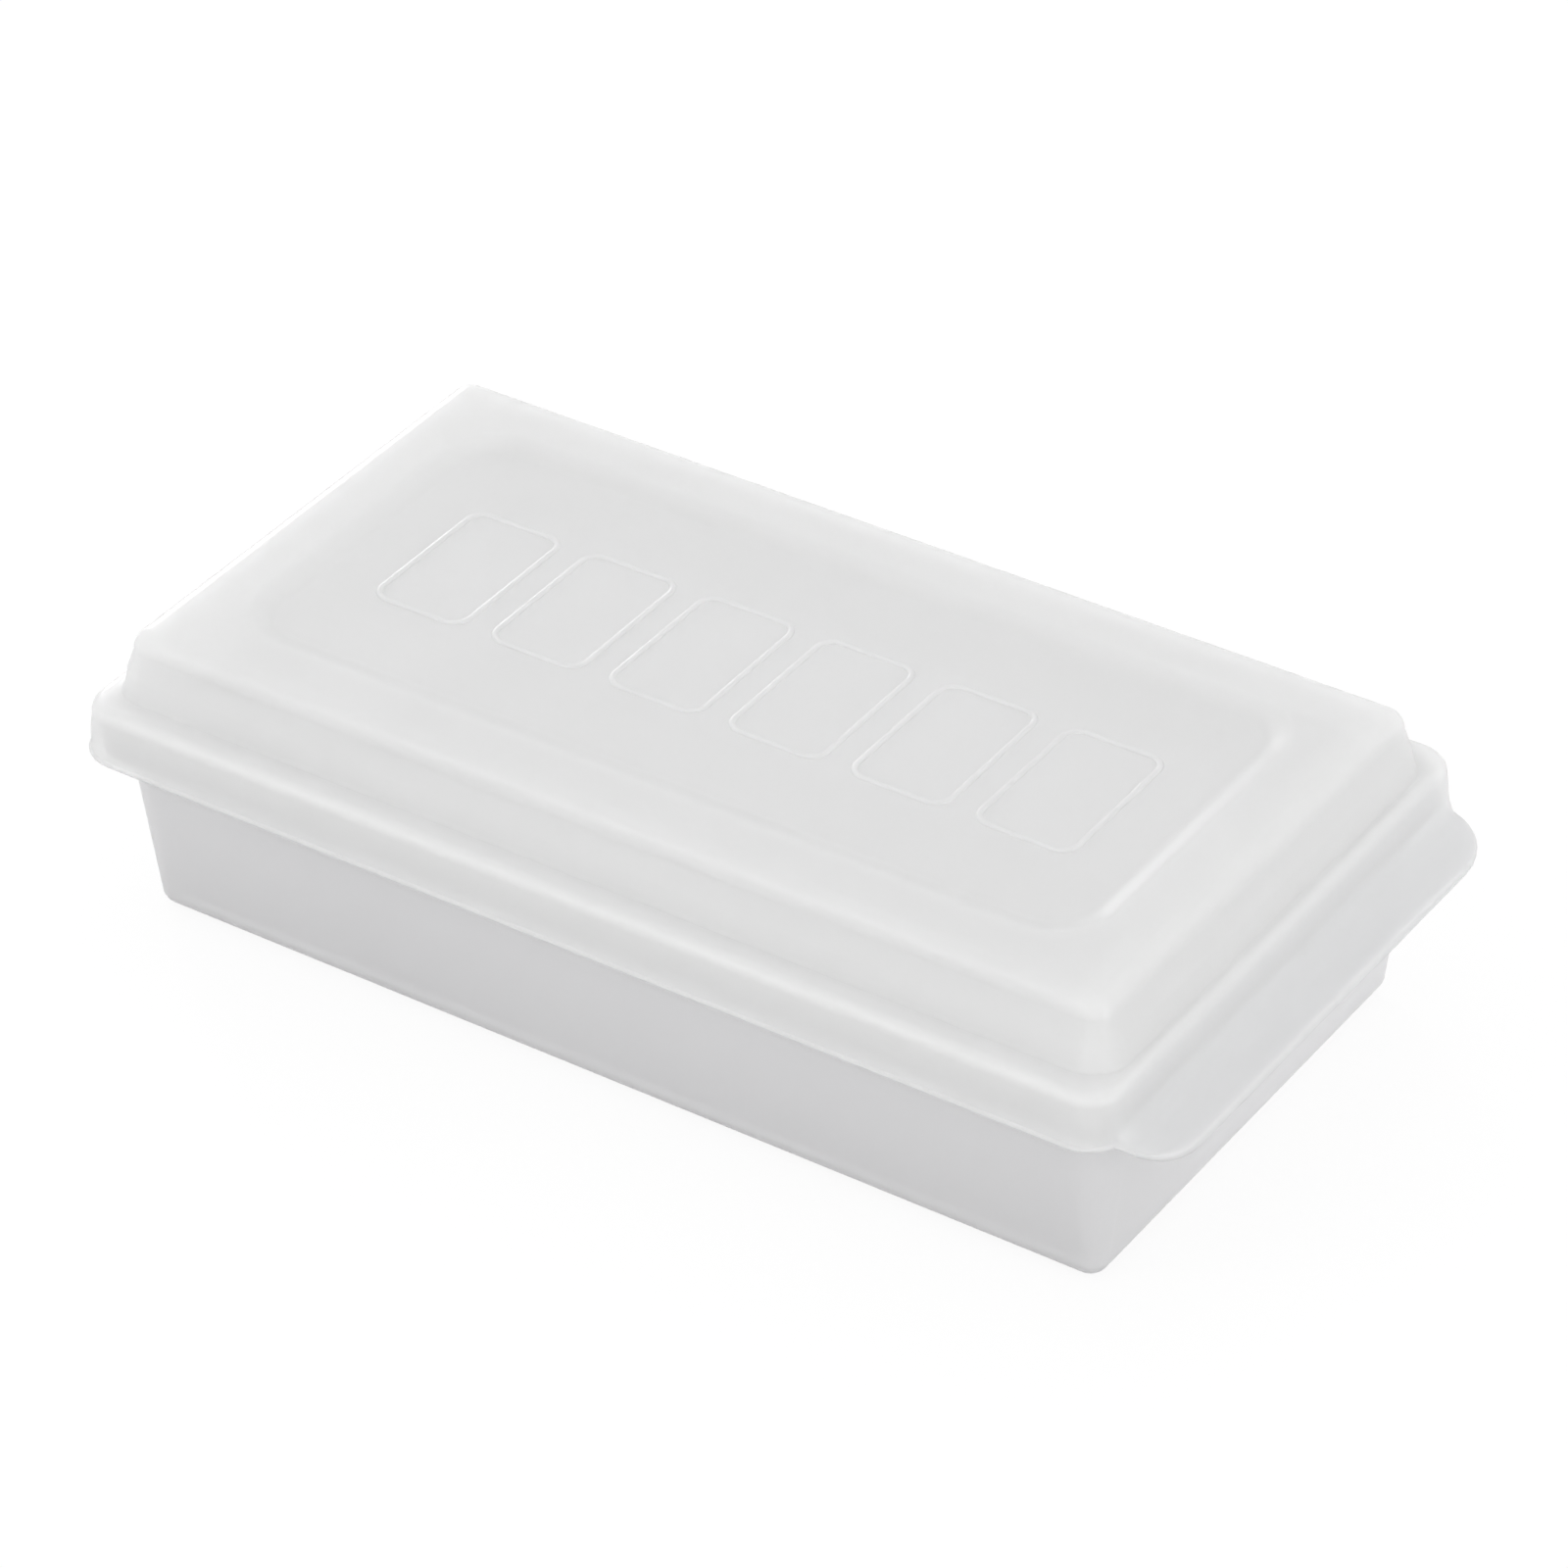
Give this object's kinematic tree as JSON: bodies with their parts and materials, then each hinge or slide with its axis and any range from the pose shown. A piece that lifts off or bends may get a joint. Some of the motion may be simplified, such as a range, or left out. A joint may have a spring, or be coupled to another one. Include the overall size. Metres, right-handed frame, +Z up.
{
  "type": "butter cutting box",
  "caption": "Low oblong box for a block of butter: a tapered tray, a lift-out cutter of steel wires in a plastic frame, and a stepped lid with a finger lip at one end.",
  "frame": {"origin": "on the surface that the box stands on, under the middle of the tray", "axes": "+Z up, +X along the box towards the lid's finger lip, +Y across it"},
  "size_m": [0.1686, 0.091, 0.0449],
  "materials": {
    "milky_plastic": "satin, milky and slightly see-through",
    "white_plastic": "satin",
    "steel_wire": "drawn"
  },
  "bodies": {
    "tray": {"tray": "milky_plastic"},
    "cutter": {"cutter_frame": "white_plastic", "cutter_cap": "white_plastic", "long_wire": "steel_wire", "cross_wire_01": "steel_wire", "cross_wire_02": "steel_wire", "cross_wire_03": "steel_wire", "cross_wire_04": "steel_wire", "cross_wire_05": "steel_wire", "cross_wire_06": "steel_wire", "cross_wire_07": "steel_wire", "cross_wire_08": "steel_wire", "cross_wire_09": "steel_wire", "cross_wire_10": "steel_wire", "cross_wire_11": "steel_wire", "cross_wire_12": "steel_wire", "cross_wire_13": "steel_wire", "cross_wire_14": "steel_wire"},
    "lid": {"lid": "milky_plastic"}
  },
  "joints": [
    {"name": "cutter_lift", "type": "slide", "parent": "tray", "child": "cutter", "axis": [0, 0, 1], "range_m": [0, 0.04]},
    {"name": "lid_lift", "type": "slide", "parent": "cutter", "child": "lid", "axis": [0, 0, 1], "range_m": [0, 0.06]}
  ]
}
